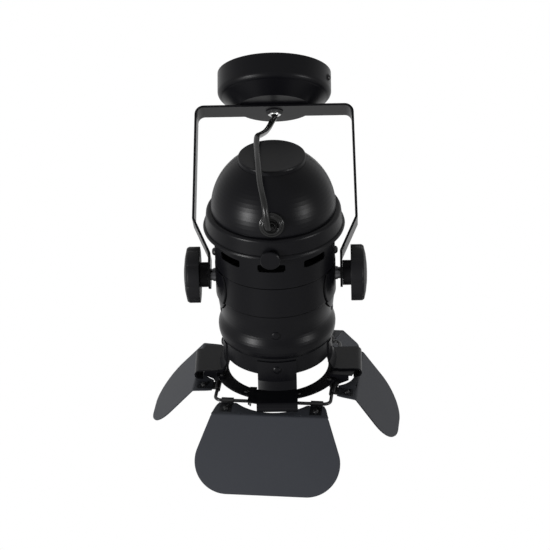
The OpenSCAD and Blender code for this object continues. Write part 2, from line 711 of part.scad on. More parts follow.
// ---- lampholder ----
lamp_top = lamp_mouth_z + lamp_l;
module lampholder() color([0.85, 0.84, 0.8]) in_can() difference() {
  rotate_extrude($fn = 72)
    polygon([[0, lamp_mouth_z], [holder_r - 0.6, lamp_mouth_z], [holder_r, lamp_mouth_z + 0.6],
             [holder_r, lamp_mouth_z + lamp_bore_l + lamp_chamber_l],
             [holder_r - 4, lamp_top - 3],
             [holder_r - 6, lamp_top], [0, lamp_top]]);
  translate([0, 0, lamp_mouth_z - 1])
    cylinder(r = lamp_bore_r, h = lamp_bore_l + 1, $fn = 72);
  translate([0, 0, lamp_mouth_z])
    cylinder(r = lamp_chamber_r, h = lamp_bore_l + lamp_chamber_l, $fn = 72);
}
module lamp_contact() color([0.75, 0.62, 0.3]) in_can()
  translate([0, 0, lamp_mouth_z + lamp_bore_l + lamp_chamber_l - 2.5]) {
    translate([0, 0, 1])
      cylinder(r = 5, h = 1.5);
    translate([-8, -2.5, 0])
      cube([10, 5, 1]);
  }
lamp_reach = sqrt(pow(barrel_r - can_wall, 2) - pow(lamp_strip_w / 2, 2)) - 0.1;
module lamp_bridge() color([0.6, 0.6, 0.61]) in_can() difference() {
  translate([-lamp_reach, -lamp_strip_w / 2, lamp_top])
    cube([2 * lamp_reach, lamp_strip_w, can_wall]);
  translate([0, 0, lamp_top - 1])
    cylinder(r = 3.2, h = 4);
}
module lamp_feet() color([0.6, 0.6, 0.61]) in_can() for (a = [0, 180]) rotate([0, 0, a])
  difference() {
    translate([lamp_reach - can_wall, -lamp_strip_w / 2, lamp_screw_z - 5])
      cube([can_wall, lamp_strip_w, lamp_top - lamp_screw_z + 5]);
    translate([0, 0, lamp_screw_z])
      xcyl(1.85, lamp_reach - 5, lamp_reach + 5);
  }
module lamp_bracket_screws() color([0.15, 0.15, 0.15]) in_can() for (a = [0, 180])
  rotate([0, 0, a])
    translate([0, 0, lamp_screw_z])
      pan_screw(3.5, 2.4, barrel_r, 1.8, 6);

// ---- rivets of the front shell ----
module waist_rivets() color([0.1, 0.1, 0.105]) in_can() {
  face = shell_r(-waist_rivet_z);
  difference() {
    for (i = [0:3])
      side(i)
        translate([0, 0, waist_rivet_z])
          rivet(4, 1.3, face + 0.02, 1, 0.4);
    rotate_extrude($fn = 96)
      polygon(concat([[0, shell_out[0][1]]], [for (q = shell_out) q + [0.02, 0]], [[0, -front_z]]));
  }
  for (i = [0:3])
    side(i)
      translate([0, 0, waist_rivet_z])
        xcyl(1.6, face - 3, face + 0.6);
}
module neck_rivets() color([0.1, 0.1, 0.105]) in_can() for (i = [0:3])
  side(i)
    translate([0, 0, neck_rivet_z])
      rivet(3.6, 1.5, neck_r + hold_t, 1.6, 4);

// ---- accessory holders ----
module holder(i) color([0.1, 0.1, 0.105]) in_can() side(i) {
  top = -crease_z - 3.5;
  bend = -web_z + 7;
  difference() {
    intersection() {
      rotate_extrude($fn = 96)
        polygon([[neck_r, top], [neck_r + hold_t, top], [neck_r + hold_t, bend],
                 [neck_r + 4.6, -web_z], [neck_r + 12, -web_z], [neck_r + 12, web_under],
                 [neck_r + 3.9, web_under], [neck_r, bend - 0.3]]);
      translate([10, -strap_w / 2, -web_z - 10])
        cube([70, strap_w, 60]);
    }
    translate([0, 0, neck_rivet_z])
      xcyl(1.7, neck_r - 4, neck_r + 6);
  }
  translate([0, web_w / 2, 0])
    rotate([90, 0, 0])
      linear_extrude(height = web_w)
        polygon(concat([[neck_r + 6, web_under], [neck_r + 6, -web_z]],
          arc(curl_c, -web_z - curl_r, curl_r, 90, -90, 10),
          [[curl_c - 3, -web_z - 2 * curl_r], [curl_c - 3, -web_z - 2 * curl_r + hold_t]],
          arc(curl_c, -web_z - curl_r, curl_r - hold_t, -90, 90, 8)));
}
module holder_front() holder(0);
module holder_right() holder(1);
module holder_rear() holder(2);
module holder_left() holder(3);

// ---- knobs ----
module knob_grip(a) color([0.06, 0.06, 0.062]) in_can() rotate([0, 0, a]) {
  ball = (knob_af * knob_af / 4 + knob_crown * knob_crown) / (2 * knob_crown);
  intersection() {
    translate([grip_x, 0, 0])
      rotate([0, 90, 0])
        rotate([0, 0, 22.5])
          cylinder(r = knob_af / 2 / cos(22.5), h = knob_h, $fn = 8);
    xcyl(knob_corner, grip_x - 1, grip_x + knob_h + 1, $fn = 96);
    translate([grip_x + knob_h - ball, 0, 0])
      sphere(r = ball, $fn = 96);
  }
}
module knob_stud(a) color([0.62, 0.63, 0.64]) in_can() rotate([0, 0, a]) {
  xcyl(collar_r, collar_x, grip_x, $fn = 64);
  xcyl(stud_r, nut_x - pivot_nut_h - 1, collar_x + 1);
}
module knob_right_grip() knob_grip(0);
module knob_left_grip() knob_grip(180);
module knob_right_stud() knob_stud(0);
module knob_left_stud() knob_stud(180);

// ---- door frame ----
lug_x = wire_half - 3.6;
module door_ring() color([0.09, 0.09, 0.095]) in_doors() difference() {
  translate([0, 0, ring_under])
    cylinder(r = ring_out, h = ring_t, $fn = 96);
  translate([0, 0, ring_under - 1])
    cylinder(r = ring_in, h = ring_t + 2, $fn = 96);
  for (i = [0:3], y = [-1, 1])
    side(i) {
      translate([lug_x - 0.1, y * (tab_w / 2 - tab_t / 2) - tab_t / 2 - 0.05, ring_under - 1])
        cube([20, tab_t + 0.1, ring_t + 2]);
      translate([lug_x + 0.5, y * (tab_w / 2 + 3), ring_under - 1])
        cylinder(r = 1.1, h = ring_t + 2);
    }
}
module tab(i) color([0.1, 0.1, 0.105]) in_doors() side(i) {
  difference() {
    intersection() {
      translate([44, -tab_w / 2, tab_under])
        cube([40, tab_w, tab_t]);
      translate([0, 0, tab_under - 1])
        cylinder(r = tab_r, h = 4, $fn = 96);
    }
    translate([lug_x - 10, -tab_w / 2 + 6, tab_under - 1])
      cube([12, tab_w - 12, tab_t + 2]);
  }
  for (y = [-1, 1]) {
    translate([0, y * (tab_w / 2 - tab_t / 2) + tab_t / 2, 0])
      rotate([90, 0, 0])
        difference() {
          linear_extrude(height = tab_t)
            polygon([[lug_x, tab_top], [wire_half + 13.4, tab_top], [wire_half + 13.4, tab_under - 4.6],
                     [wire_half + 5, -wire_z + 1], [wire_half + 3.6, -wire_z - wire_r - 1.3],
                     [lug_x, -wire_z - wire_r - 1.3]]);
          translate([wire_half, -wire_z, -1])
            cylinder(r = wire_r + 0.05, h = tab_t + 2);
        }
    translate([lug_x - 1.6, y * (tab_w / 2 + 2.6) - 3, ring_top])
      difference() {
        cube([6.4, 6, 1]);
        translate([2.1, 3 + y * 0.4, -1])
          cylinder(r = 1.1, h = 3);
      }
  }
}
module tab_front() tab(0);
module tab_right() tab(1);
module tab_rear() tab(2);
module tab_left() tab(3);
module ring_rivets() color([0.12, 0.12, 0.12]) in_doors() for (i = [0:3], y = [-1, 1])
  side(i)
    translate([lug_x + 0.5, y * (tab_w / 2 + 3), 0]) {
      translate([0, 0, ring_under - 0.6])
        cylinder(r = 1, h = ring_t + 1 + 1.2);
      translate([0, 0, ring_top + 1])
        cylinder(r1 = 2, r2 = 1.2, h = 0.8);
      translate([0, 0, ring_under - 0.6])
        cylinder(r1 = 1.4, r2 = 1.9, h = 0.6);
    }
module wire_frame() color([0.07, 0.07, 0.07]) in_doors() translate([0, 0, -wire_z])
  for (i = [0:3])
    side(i) {
      translate([wire_half, -wire_half + wire_bend, 0])
        rotate([-90, 0, 0])
          cylinder(r = wire_r, h = 2 * (wire_half - wire_bend));
      translate([wire_half - wire_bend, wire_half - wire_bend, 0])
        rotate_extrude(angle = 90)
          translate([wire_bend, 0])
            circle(r = wire_r, $fn = 32);
    }

// ---- barn doors: drawn with X along the door, Y across and +Z outward ----
module in_leaf(i) {
  in_doors()
    side(i)
      translate([wire_half, 0, -wire_z])
        rotate([0, 90 - leaf_root[i], 0])
          children();
}
leaf_root_u = wire_r + 3;
screw_u = clip_u - 5.4;
function is_long(i) = i % 2 == 0;
function pick(i, a, b) = is_long(i) ? a : b;
function clip_at(i) = pick(i, long_clip_x, short_clip_x);
// Right half of a panel's outline: a straight edge tangent to its corner's arc
function panel_half(w0, w1, l, r) =
  let (d = [l - r, w1 - r - w0], a = atan2(d[1], d[0]) + asin(r / norm(d)) + 90)
  concat([[fold_u, w0]], arc(fold_u + l - r, w1 - r, r, a, 0, 10));
function long_half() = panel_half(long_fold_w, long_max_w, long_l, long_corner);
function short_half() = panel_half(short_fold_w, short_max_w, short_l, short_corner);
function both_halves(p) = concat(p, [for (q = rev(p)) [q[0], -q[1]]]);
module root_shape(i) {
  w = pick(i, long_fold_w, short_fold_w);
  in = pick(i, 5, 2);
  mid = clip_at(i) - clip_w / 2 - 3;
  rise = leaf_arc_u - leaf_root_u;
  r = (mid * mid + rise * rise) / (2 * rise);
  difference() {
    polygon(both_halves([[leaf_root_u, w - in], [leaf_root_u + 5, w - in * 0.55], [fold_u, w]]));
    translate([leaf_arc_u - r, 0])
      circle(r = r, $fn = 96);
  }
}
module leaf(i) color([0.2, 0.2, 0.205]) in_leaf(i) {
  difference() {
    translate([0, 0, -leaf_t])
      linear_extrude(height = leaf_t)
        root_shape(i);
    for (y = [-1, 1])
      translate([screw_u, y * clip_at(i), -leaf_t - 1])
        cylinder(r = 1.5, h = leaf_t + 2);
  }
  translate([fold_u, 0, 0])
    rotate([0, leaf_fold, 0])
      translate([-fold_u, 0, -leaf_t])
        linear_extrude(height = leaf_t)
          polygon(both_halves(pick(i, long_half(), short_half())));
}
module clips(i) color([0.08, 0.08, 0.085]) in_leaf(i) for (y = [-1, 1])
  translate([0, y * clip_at(i), 0])
    difference() {
      union() {
        rotate([90, 0, 0])
          cylinder(r = clip_r, h = clip_w, center = true);
        translate([0, -clip_w / 2, 0])
          cube([clip_u, clip_w, clip_t]);
      }
      rotate([90, 0, 0])
        cylinder(r = wire_r + clip_gap, h = clip_w + 2, center = true);
      translate([clip_r * 0.35, -clip_w / 2 - 1, -leaf_t - 3.02])
        cube([10, clip_w + 2, leaf_t + 3.02]);
      translate([screw_u, 0, -3])
        cylinder(r = 1.5, h = 8);
    }
module clip_screws(i) color([0.12, 0.12, 0.12]) in_leaf(i) for (y = [-1, 1])
  translate([screw_u, y * clip_at(i), 0])
    rotate([0, -90, 0]) {
      pan_screw(2.5, 1.7, clip_t, 1.45, leaf_t + clip_t + 1);
      xhex(4.5, -leaf_t - 1.6, -leaf_t);
    }
module leaf_front() leaf(0);
module leaf_right() leaf(1);
module leaf_rear() leaf(2);
module leaf_left() leaf(3);
module clips_front() clips(0);
module clips_right() clips(1);
module clips_rear() clips(2);
module clips_left() clips(3);
module screws_front() clip_screws(0);
module screws_right() clip_screws(1);
module screws_rear() clip_screws(2);
module screws_left() clip_screws(3);

canopy_cup();
ceiling_bracket();
canopy_side_screws();
cable_nipple();
nipple_lock_nut();
swivel_washer();
clamp_washer();
nipple_nut();
terminal_block();
terminal_screws();
yoke_bracket();
supply_flex();
rear_dome();
dome_skirt();
dome_cap();
rim_ring();
can_barrel();
barrel_sleeve();
front_shell();
side_plates();
pivot_bushes();
pivot_nuts();
cable_grommet();
lampholder();
lamp_contact();
lamp_bridge();
lamp_feet();
lamp_bracket_screws();
waist_rivets();
neck_rivets();
holder_front();
holder_right();
holder_rear();
holder_left();
thumb_screw();
knob_left_grip();
knob_left_stud();
knob_right_grip();
knob_right_stud();
door_ring();
tab_front();
tab_right();
tab_rear();
tab_left();
wire_frame();
ring_rivets();
leaf_front();
clips_front();
screws_front();
leaf_right();
clips_right();
screws_right();
leaf_rear();
clips_rear();
screws_rear();
leaf_left();
clips_left();
screws_left();
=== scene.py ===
"""Looks of a ceiling spotlight with barn doors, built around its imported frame."""

import bmesh
import bpy
import numpy as np
from bpy.props import FloatProperty, FloatVectorProperty, IntProperty, PointerProperty
from bpy.types import Operator, Panel, PropertyGroup
from mathutils import Matrix, Vector


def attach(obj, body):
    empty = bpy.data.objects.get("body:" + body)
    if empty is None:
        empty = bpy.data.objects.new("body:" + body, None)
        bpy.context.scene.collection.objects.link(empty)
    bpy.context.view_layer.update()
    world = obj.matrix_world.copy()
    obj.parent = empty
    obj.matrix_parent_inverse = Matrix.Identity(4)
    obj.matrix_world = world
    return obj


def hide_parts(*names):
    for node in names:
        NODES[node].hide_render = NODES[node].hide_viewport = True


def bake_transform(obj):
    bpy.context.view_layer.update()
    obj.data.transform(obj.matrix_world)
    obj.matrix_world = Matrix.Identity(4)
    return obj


bl_info = {
    "name": "Barn Door Spotlight",
    "version": (1, 0, 0),
    "blender": (4, 5, 0),
    "location": "View3D > Sidebar > Spotlight",
    "description": "Finishes, flex, knobs, doors and stage of a ceiling spotlight",
    "category": "Object",
}

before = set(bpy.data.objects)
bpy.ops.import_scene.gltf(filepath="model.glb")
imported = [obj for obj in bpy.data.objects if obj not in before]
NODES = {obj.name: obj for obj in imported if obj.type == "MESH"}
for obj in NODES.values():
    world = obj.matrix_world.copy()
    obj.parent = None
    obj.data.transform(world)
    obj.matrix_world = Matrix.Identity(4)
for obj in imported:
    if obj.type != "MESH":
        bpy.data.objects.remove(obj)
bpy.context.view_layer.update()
MM = 0.001
FINISH = "spotlight "

# ---- places in millimetres and degrees, as in the part's source ----
PIVOT_DROP = 184.0  # tilt axis below the ceiling face
CAN_TILT = 48.0
DOOR_TURN = -5.5  # turn of the door frame about the can's axis
DOME_Z, DOME_R = 66.5, 53.0
GROMMET_LEAN, GROMMET_TURN = 12.6, -0.5
WIRE_HALF, WIRE_Z = 50.1, 99.5  # the hinge wires, out from the can's axis and down it
GRIP_X = 64.7  # inner face of each knob's grip
LAMP_MOUTH_Z, LAMP_BORE_R = 28.0, 13.4
SLEEVE_R, SLEEVE_FRONT = 50.5, -13.8
SHELL_TOP_R, SHELL_TOP = 49.2, SLEEVE_FRONT - 0.5
WAIST_R, WAIST_Z = 47.6, -34.0
SIDES = ("front", "right", "rear", "left")
ROOT_ANGLE = (88.0, 82.0, 84.0, 90.0)  # each door's root strip off the can's axis, at rest


def move(x=0.0, y=0.0, z=0.0):
    """A shift as a 4x4 matrix."""
    m = np.eye(4)
    m[:3, 3] = (x, y, z)
    return m


def turn(axis, degrees):
    """A right-handed turn about X, Y or Z as a 4x4 matrix."""
    c, s = np.cos(np.radians(degrees)), np.sin(np.radians(degrees))
    i, j = {"X": (1, 2), "Y": (2, 0), "Z": (0, 1)}[axis]
    m = np.eye(4)
    m[i, i] = m[j, j] = c
    m[i, j], m[j, i] = -s, s
    return m


TILT_CENTRE = np.array([0, 0, -PIVOT_DROP * MM])
IN_CAN = move(z=-PIVOT_DROP) @ turn("X", CAN_TILT)
IN_DOORS = IN_CAN @ turn("Z", DOOR_TURN)


def in_leaf(i):
    """Door i's own frame: X along the door, Y across, Z outward."""
    out = IN_DOORS @ turn("Z", -90 + 90 * i) @ move(WIRE_HALF, 0, -WIRE_Z)
    return out @ turn("Y", 90 - ROOT_ANGLE[i])


def placed(points, matrix):
    """Points in millimetres through a matrix, in metres in the row frame."""
    flat = points.reshape(-1, 3)
    return ((flat @ matrix[:3, :3].T + matrix[:3, 3]) * MM).reshape(points.shape)


# ---- meshes from grids ----
def grid_object(name, points, wrap_rows=False, wrap_columns=False, flip=False, caps=False):
    """A mesh on an n by m grid of points: each cell is one quad between rows i, i+1 and
    columns j, j+1, and caps close the first and last row with one polygon each."""
    n, m = points.shape[:2]
    i = np.arange(n if wrap_rows else n - 1)[:, None]
    j = np.arange(m if wrap_columns else m - 1)[None, :]
    i2, j2 = (i + 1) % n, (j + 1) % m
    quads = np.stack([i * m + j, i * m + j2, i2 * m + j2, i2 * m + j], -1).reshape(-1, 4)
    faces = quads.tolist()
    if caps:
        faces += [np.arange(m)[::-1].tolist(), (np.arange(m) + (n - 1) * m).tolist()]
    if flip:
        faces = [f[::-1] for f in faces]
    mesh = bpy.data.meshes.new(name)
    mesh.from_pydata(points.reshape(-1, 3).tolist(), [], faces)
    mesh.polygons.foreach_set("use_smooth", np.ones(len(mesh.polygons), bool))
    mesh.update()
    piece = bpy.data.objects.new(name, mesh)
    bpy.context.scene.collection.objects.link(piece)
    return piece


def outward(piece, merge=1e-7):
    """Joins doubled points and turns every face outward."""
    work = bmesh.new()
    work.from_mesh(piece.data)
    bmesh.ops.remove_doubles(work, verts=work.verts, dist=merge)
    bmesh.ops.recalc_face_normals(work, faces=work.faces)
    work.to_mesh(piece.data)
    work.free()
    return piece


def revolved(name, profile, matrix, segments=96, shape=None):
    """A closed profile of (radius, height) carried round Z: x = r cos a, y = r sin a.
    shape(r, z, a) may change the radius with the angle."""
    a = np.linspace(0, 2 * np.pi, segments, endpoint=False)[None, :]
    r, z = profile[:, :1], profile[:, 1:]
    radius = r + 0 * a if shape is None else shape(r, z, a)
    points = np.stack([radius * np.cos(a), radius * np.sin(a), z + 0 * a], -1)
    piece = grid_object(name, placed(points, matrix), wrap_rows=True, wrap_columns=True)
    return outward(piece)


def rounded(points, radius, steps=5):
    """A closed outline with each corner replaced by a quadratic curve of that reach."""
    p = np.array(points, float)
    before, after = np.roll(p, 1, 0) - p, np.roll(p, -1, 0) - p
    lb, la = np.linalg.norm(before, axis=1), np.linalg.norm(after, axis=1)
    reach = np.minimum(radius, 0.45 * np.minimum(lb, la))[:, None]
    start, end = p + before / lb[:, None] * reach, p + after / la[:, None] * reach
    t = np.linspace(0, 1, steps)[None, :, None]
    curve = (1 - t) ** 2 * start[:, None] + 2 * t * (1 - t) * p[:, None] + t * t * end[:, None]
    return curve.reshape(-1, 2)


def catmull(points, per_span):
    """A Catmull-Rom curve: a cubic through every point, its slope half the step between
    that point's neighbours."""
    p = np.array(points, float)
    q = np.concatenate([p[:1], p, p[-1:]])
    t = np.linspace(0, 1, per_span, endpoint=False)[None, :, None]
    a, b, c, d = (q[k : len(q) - 3 + k][:, None] for k in range(4))
    span = 0.5 * (2 * b + (c - a) * t + (2 * a - 5 * b + 4 * c - d) * t**2
                  + (3 * b - a - 3 * c + d) * t**3)
    return np.concatenate([span.reshape(-1, 3), p[-1:]])


def tube_points(path, radius, sides):
    """Rings square to a path, each ring's first direction carried from the X axis."""
    along = np.gradient(path, axis=0)
    along /= np.linalg.norm(along, axis=1, keepdims=True)
    u = np.cross(along, [1.0, 0, 0])
    u /= np.linalg.norm(u, axis=1, keepdims=True)
    v = np.cross(along, u)
    a = np.linspace(0, 2 * np.pi, sides, endpoint=False)[None, :, None]
    return path[:, None] + radius * (np.cos(a) * u[:, None] + np.sin(a) * v[:, None])


# ---- shader maths ----
class Value:
    """A shader socket that takes part in Python expressions; each one adds Math nodes."""

    def __init__(self, surface, socket):
        self.surface, self.socket = surface, socket

    def math(self, operation, *values):
        return self.surface.node("ShaderNodeMath", {"operation": operation}, values)

    def __add__(self, other):
        return self.math("ADD", self, other)

    def __sub__(self, other):
        return self.math("SUBTRACT", self, other)

    def __mul__(self, other):
        return self.math("MULTIPLY", self, other)

    def between(self, low, high):
        """0 at low, 1 at high and a soft step between."""
        step = {"interpolation_type": "SMOOTHSTEP"}
        sockets = {"Value": self, "From Min": low, "From Max": high}
        return self.surface.node("ShaderNodeMapRange", step, sockets)

    __radd__ = __add__
    __rmul__ = __mul__


def rgba(colour):
    """A colour as four numbers, or a socket as it is."""
    return colour if isinstance(colour, Value) else (*colour[:3], 1.0)


class Tree:
    """A node tree, emptied, with one method that makes every node."""

    def __init__(self, tree):
        self.tree = tree
        tree.nodes.clear()

    def node(self, kind, settings, values=(), out=0):
        """Makes a node: settings first, then the values or links of its sockets."""
        made = self.tree.nodes.new(kind)
        for key, value in settings.items():
            setattr(made, key, value)
        pairs = values.items() if isinstance(values, dict) else enumerate(values)
        for key, value in pairs:
            if isinstance(value, Value):
                self.tree.links.new(value.socket, made.inputs[key])
            else:
                made.inputs[key].default_value = value
        return Value(self, made.outputs[out]) if made.outputs else None


class Surface(Tree):
    """A node material on object coordinates."""

    def __init__(self, name):
        self.material = bpy.data.materials.new(FINISH + name)
        self.material.use_nodes = True
        super().__init__(self.material.node_tree)
        self.place = self.node("ShaderNodeTexCoord", {}, {}, "Object")

    def noise(self, scale, detail=3.0, roughness=0.5, place=None):
        """Noise from 0 to 1; scale is features per metre."""
        sockets = {"Vector": place or self.place, "Scale": scale,
                   "Detail": detail, "Roughness": roughness}
        return self.node("ShaderNodeTexNoise", {}, sockets)

    def stretched(self, x, y, z):
        """Object coordinates with each axis scaled, for grain that runs one way."""
        return self.node("ShaderNodeMapping", {}, {"Vector": self.place, "Scale": (x, y, z)})

    def blend(self, amount, first, second):
        """A colour between two."""
        settings = {"data_type": "RGBA", "clamp_factor": True}
        sockets = {0: amount, 6: rgba(first), 7: rgba(second)}
        return self.node("ShaderNodeMix", settings, sockets, 2)

    def bump(self, height, distance):
        """A normal from a height, its depth in metres."""
        return self.node("ShaderNodeBump", {}, {"Height": height, "Distance": distance})

    def close(self, **sockets):
        """Ends the material in one principled shader; underscores stand for spaces."""
        named = {key.replace("_", " "): value for key, value in sockets.items()}
        named["Base Color"] = rgba(named["Base Color"])
        shader = self.node("ShaderNodeBsdfPrincipled", {}, named)
        self.node("ShaderNodeOutputMaterial", {}, {"Surface": shader})
        return self.material


def powder_coat(name, colour, roughness, peel, mottle, shine):
    """Baked powder paint: an orange-peel skin, faint drift of shade and fine dust. Peel is
    the skin's depth in metres, and mottle the share by which the shade drifts."""
    s = Surface(name)
    drift = s.noise(9.0, 2.0)
    peel_skin = s.noise(1100.0, 2.0)
    grain = s.noise(4200.0, 1.0)
    dust = s.noise(2600.0, 0.0).between(0.73, 0.78)
    dark = tuple(c * (1 - mottle) for c in colour)
    light = tuple(c * (1 + mottle) for c in colour)
    shade = s.blend(drift, dark, light)
    base = s.blend(dust * 0.35, shade, tuple(c * 2.2 + 0.002 for c in colour))
    rough = roughness + (drift - 0.5) * 0.08 + (peel_skin - 0.5) * 0.06
    height = peel_skin * 0.8 + grain * 0.2
    return s.close(Base_Color=base, Roughness=rough, Specular_IOR_Level=shine,
                   Normal=s.bump(height, peel))


def moulded_plastic(name, colour, roughness, shine):
    """Spark-eroded black moulding: a tight even grain with slightly polished highs."""
    s = Surface(name)
    grain = s.noise(2400.0, 1.0)
    wear = s.noise(60.0, 3.0).between(0.55, 0.75)
    base = s.blend(wear * 0.5, colour, tuple(c * 1.35 + 0.0005 for c in colour))
    rough = roughness + (grain - 0.5) * 0.12 - wear * 0.05
    return s.close(Base_Color=base, Roughness=rough, Specular_IOR_Level=shine,
                   Normal=s.bump(grain, 6e-6))


def soft_rubber(name, colour, roughness, shine):
    """Black rubber with a waxy bloom in patches and very fine pores."""
    s = Surface(name)
    bloom = s.noise(140.0, 4.0).between(0.5, 0.8)
    pores = s.noise(3000.0, 0.0)
    base = s.blend(bloom * 0.6, colour, tuple(c * 1.8 + 0.001 for c in colour))
    rough = roughness + bloom * 0.1 + (pores - 0.5) * 0.05
    return s.close(Base_Color=base, Roughness=rough, Specular_IOR_Level=shine,
                   Normal=s.bump(pores, 3e-6))


def flex_sheath(name, colour, roughness, shine):
    """Extruded PVC sheath: long faint draw lines along the flex and scuffs across it."""
    s = Surface(name)
    lines = s.noise(900.0, 2.0, 0.5, s.stretched(1.0, 0.12, 0.12))
    scuff = s.noise(260.0, 4.0).between(0.6, 0.8)
    base = s.blend(scuff * 0.5, colour, tuple(c * 1.9 + 0.001 for c in colour))
    return s.close(Base_Color=base, Roughness=roughness + scuff * 0.15, Specular_IOR_Level=shine,
                   Normal=s.bump(lines, 5e-6))


def plated_steel(name, colour, roughness, grain):
    """Zinc or nickel plate: a draw grain one way, clouded plating and dull specks. Grain is
    how tight the lines are along Z against across it; 1 is even."""
    s = Surface(name)
    lines = s.noise(1800.0, 3.0, 0.6, s.stretched(1.0, 1.0, grain))
    cloud = s.noise(150.0, 3.0)
    speck = s.noise(900.0, 1.0).between(0.7, 0.76)
    base = s.blend(cloud, tuple(c * 0.86 for c in colour), colour)
    base = s.blend(speck * 0.4, base, tuple(c * 0.45 for c in colour))
    rough = roughness + (cloud - 0.5) * 0.14 + (lines - 0.5) * 0.1 + speck * 0.15
    return s.close(Base_Color=base, Metallic=1.0, Roughness=rough, Normal=s.bump(lines, 8e-6))


def turned_brass(name, colour):
    """Turned brass: tool rings and a little brown tarnish."""
    s = Surface(name)
    rings = s.noise(2200.0, 2.0, 0.5, s.stretched(0.05, 0.05, 1.0))
    tarnish = s.noise(220.0, 4.0).between(0.5, 0.75)
    base = s.blend(tarnish * 0.6, colour, tuple(c * f for c, f in zip(colour, (0.55, 0.45, 0.3))))
    return s.close(Base_Color=base, Metallic=1.0, Roughness=0.28 + tarnish * 0.2,
                   Normal=s.bump(rings, 1e-5))


def glazed_ceramic(name, colour):
    """Glazed porcelain: warm body specks under a wet glaze with a slow wave."""
    s = Surface(name)
    speck = s.noise(1300.0, 1.0).between(0.7, 0.75)
    wave = s.noise(90.0, 1.0)
    base = s.blend(speck * 0.5, colour, tuple(c * 0.55 for c in colour))
    return s.close(Base_Color=base, Roughness=0.14 + speck * 0.2, Normal=s.bump(wave, 6e-5))


# ---- settings ----
def paint(name, description, default):
    """A colour setting."""
    return FloatVectorProperty(name=name, description=description, default=default, size=3,
                               subtype="COLOR", min=0, max=1)


def metres(name, description, default, low, high):
    """A length setting in metres."""
    return FloatProperty(name=name, description=description, default=default, min=low, max=high,
                         unit="LENGTH", precision=4)


class SpotlightColours(PropertyGroup):
    """Paint and moulding colours."""

    body: paint("Body", "Colour of the can's and canopy's coat", (0.0022, 0.0022, 0.0029))
    doors: paint("Doors", "Colour of the barn doors' coat", (0.0185, 0.0200, 0.0242))
    plastic: paint("Knobs", "Colour of the knobs' moulding", (0.0045, 0.0045, 0.0052))
    rubber: paint("Rubber", "Colour of the grommet and the flex", (0.005, 0.005, 0.005))


class SpotlightSizes(PropertyGroup):
    """Sizes of the pieces made here."""

    flex_radius: metres("Flex radius", "Radius of the supply flex", 0.0025, 0.002, 0.003)
    groove: metres("Knob groove", "Depth of the grooves between the lobes", 0.0015, 0.0005, 0.003)
    bend_radius: metres("Bend radius", "Outer radius of the doors' bend", 0.002, 0.001, 0.004)
    thread_turns: IntProperty(name="Lamp thread", default=6, min=3, max=8,
                              description="Turns of the lampholder's screw shell")


def finish_of(name):
    """A material by name, once made."""
    return bpy.data.materials[FINISH + name]


def dress(piece, name):
    """Gives a piece one material."""
    piece.data.materials.clear()
    piece.data.materials.append(finish_of(name))


CAD_FINISHES = {
    "body_coat": ("canopy_cup", "rear_dome", "dome_skirt", "dome_cap", "rim_ring", "can_barrel",
                  "barrel_sleeve", "front_shell", "side_plates", "yoke_bracket", "waist_rivets",
                  "neck_rivets", "thumb_screw",
                  "holder_front", "holder_right", "holder_rear", "holder_left", "door_ring",
                  "tab_front", "tab_right", "tab_rear", "tab_left"),
    "black_fixings": ("canopy_side_screws", "lamp_bracket_screws", "ring_rivets", "wire_frame",
                      "clips_front", "clips_right", "clips_rear", "clips_left",
                      "screws_front", "screws_right", "screws_rear", "screws_left"),
    "zinc_plate": ("ceiling_bracket", "nipple_lock_nut", "pivot_nuts", "lamp_bridge", "lamp_feet"),
    "bright_nickel": ("nipple_nut", "cable_nipple"),
    "dark_steel": ("knob_left_stud", "knob_right_stud", "pivot_bushes", "swivel_washer"),
    "turned_brass": ("lamp_contact", "terminal_screws"),
    "porcelain": ("lampholder",),
    "block_plastic": ("terminal_block",),
    "knob_plastic": ("clamp_washer",),
}


class SPOTLIGHT_OT_finishes(Operator):
    """Make every material and give the metal, ceramic and plastic parts theirs"""

    bl_idname = "spotlight.finishes"
    bl_label = "Finishes"

    def execute(self, context):
        c = context.scene.spotlight_colours
        powder_coat("body_coat", tuple(c.body), roughness=0.34, peel=1.6e-5, mottle=0.10,
                    shine=0.08)
        powder_coat("door_coat", tuple(c.doors), roughness=0.55, peel=1.4e-5, mottle=0.07,
                    shine=0.15)
        powder_coat("black_fixings", (0.006, 0.006, 0.0065), roughness=0.3, peel=8e-6,
                    mottle=0.15, shine=0.22)
        moulded_plastic("knob_plastic", tuple(c.plastic), roughness=0.5, shine=0.08)
        moulded_plastic("block_plastic", (0.72, 0.72, 0.68), roughness=0.4, shine=0.3)
        soft_rubber("rubber", tuple(c.rubber), roughness=0.2, shine=0.2)
        flex_sheath("flex_sheath", tuple(c.rubber), roughness=0.26, shine=0.2)
        plated_steel("zinc_plate", (0.60, 0.61, 0.63), roughness=0.34, grain=0.06)
        plated_steel("bright_nickel", (0.80, 0.80, 0.80), roughness=0.14, grain=0.3)
        plated_steel("dark_steel", (0.07, 0.07, 0.074), roughness=0.32, grain=0.1)
        turned_brass("turned_brass", (0.72, 0.50, 0.20))
        plated_steel("screw_shell", (0.70, 0.66, 0.55), roughness=0.24, grain=1.0)
        glazed_ceramic("porcelain", (0.78, 0.76, 0.70))
        # painted shade: a near-black matt coat with no shine for the beads that stand for the shade
        # in the joints
        powder_coat("seam_shadow", (0.001, 0.001, 0.001), roughness=0.9, peel=4e-6, mottle=0.1,
                    shine=0.0)
        for finish, names in CAD_FINISHES.items():
            for name in names:
                dress(NODES[name], finish)
        return {"FINISHED"}


